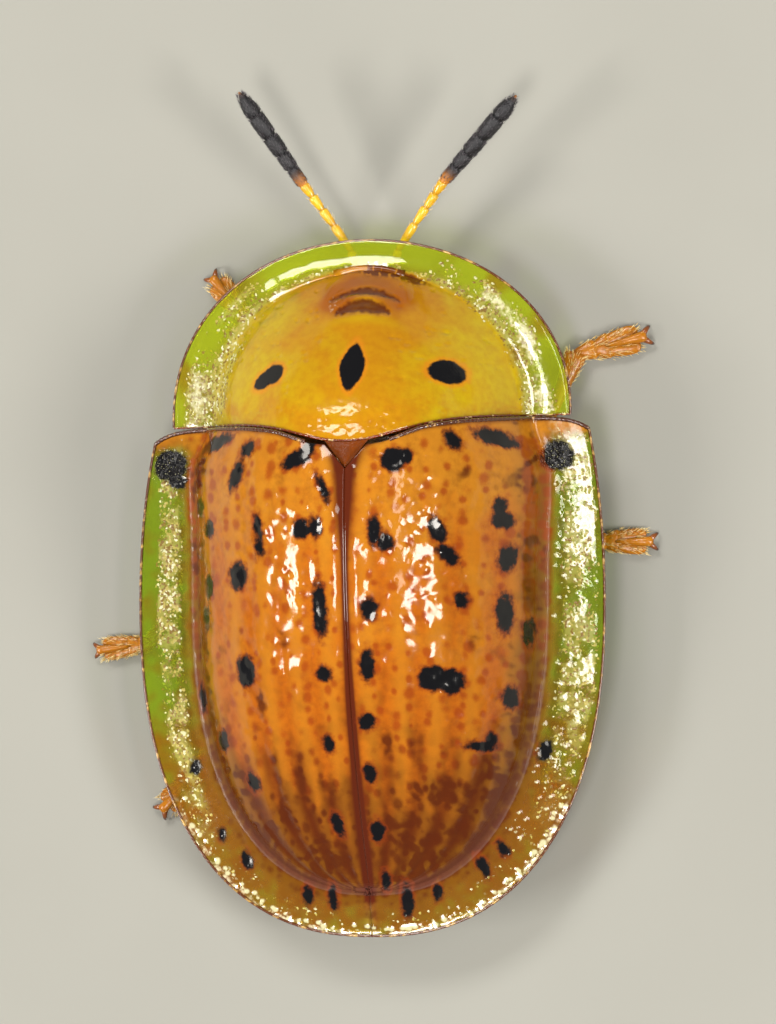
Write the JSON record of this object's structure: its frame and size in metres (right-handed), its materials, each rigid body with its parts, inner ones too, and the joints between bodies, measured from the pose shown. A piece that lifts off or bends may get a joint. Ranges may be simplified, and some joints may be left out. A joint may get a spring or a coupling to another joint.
{
  "type": "tortoise beetle",
  "caption": "Life-size still model of a spotted amber tortoise beetle standing on its feet, with a domed shell, clear flat margins and club-tipped feelers",
  "frame": {"origin": "middle of the beetle's bounding box in plan, at the level of its six soles", "axes": "head toward -Y, the animal's left side toward +X, back up toward +Z"},
  "size_m": [0.0084, 0.0122, 0.0034],
  "materials": {
    "pronotum": "glossy amber-yellow plate with clear margins and three black spots",
    "scutellum": "satin brown plate",
    "elytron_left": "glossy amber wing case with rows of pits, black spots and a clear margin",
    "elytron_right": "glossy amber wing case with rows of pits, black spots and a clear margin",
    "prothorax": "satin amber underside plate",
    "mesothorax": "satin amber underside plate",
    "metathorax": "satin amber underside plate",
    "abdomen": "satin amber banded underside",
    "head": "satin orange head capsule",
    "mouthparts": "dark brown jaws and palps",
    "eye": "glossy black compound eye",
    "antenna_stalk": "satin yellow beaded stalk",
    "antenna_club": "matte black club with short fine hairs",
    "leg": "satin amber leg with golden bristles under the foot"
  },
  "bodies": {
    "root": {"pronotum": "pronotum", "scutellum": "scutellum", "elytron_left": "elytron_left", "elytron_right": "elytron_right", "prothorax": "prothorax", "mesothorax": "mesothorax", "metathorax": "metathorax", "abdomen": "abdomen", "head": "head", "mouthparts": "mouthparts", "eye_left": "eye", "eye_right": "eye", "antenna_left_scape": "antenna_stalk", "antenna_left_stalk": "antenna_stalk", "antenna_left_club": "antenna_club", "antenna_right_scape": "antenna_stalk", "antenna_right_stalk": "antenna_stalk", "antenna_right_club": "antenna_club", "leg_front_left_femur": "leg", "leg_front_left_tibia": "leg", "leg_front_left_tarsus": "leg", "leg_front_right_femur": "leg", "leg_front_right_tibia": "leg", "leg_front_right_tarsus": "leg", "leg_middle_left_femur": "leg", "leg_middle_left_tibia": "leg", "leg_middle_left_tarsus": "leg", "leg_middle_right_femur": "leg", "leg_middle_right_tibia": "leg", "leg_middle_right_tarsus": "leg", "leg_hind_left_femur": "leg", "leg_hind_left_tibia": "leg", "leg_hind_left_tarsus": "leg", "leg_hind_right_femur": "leg", "leg_hind_right_tibia": "leg", "leg_hind_right_tarsus": "leg"}
  },
  "joints": []
}
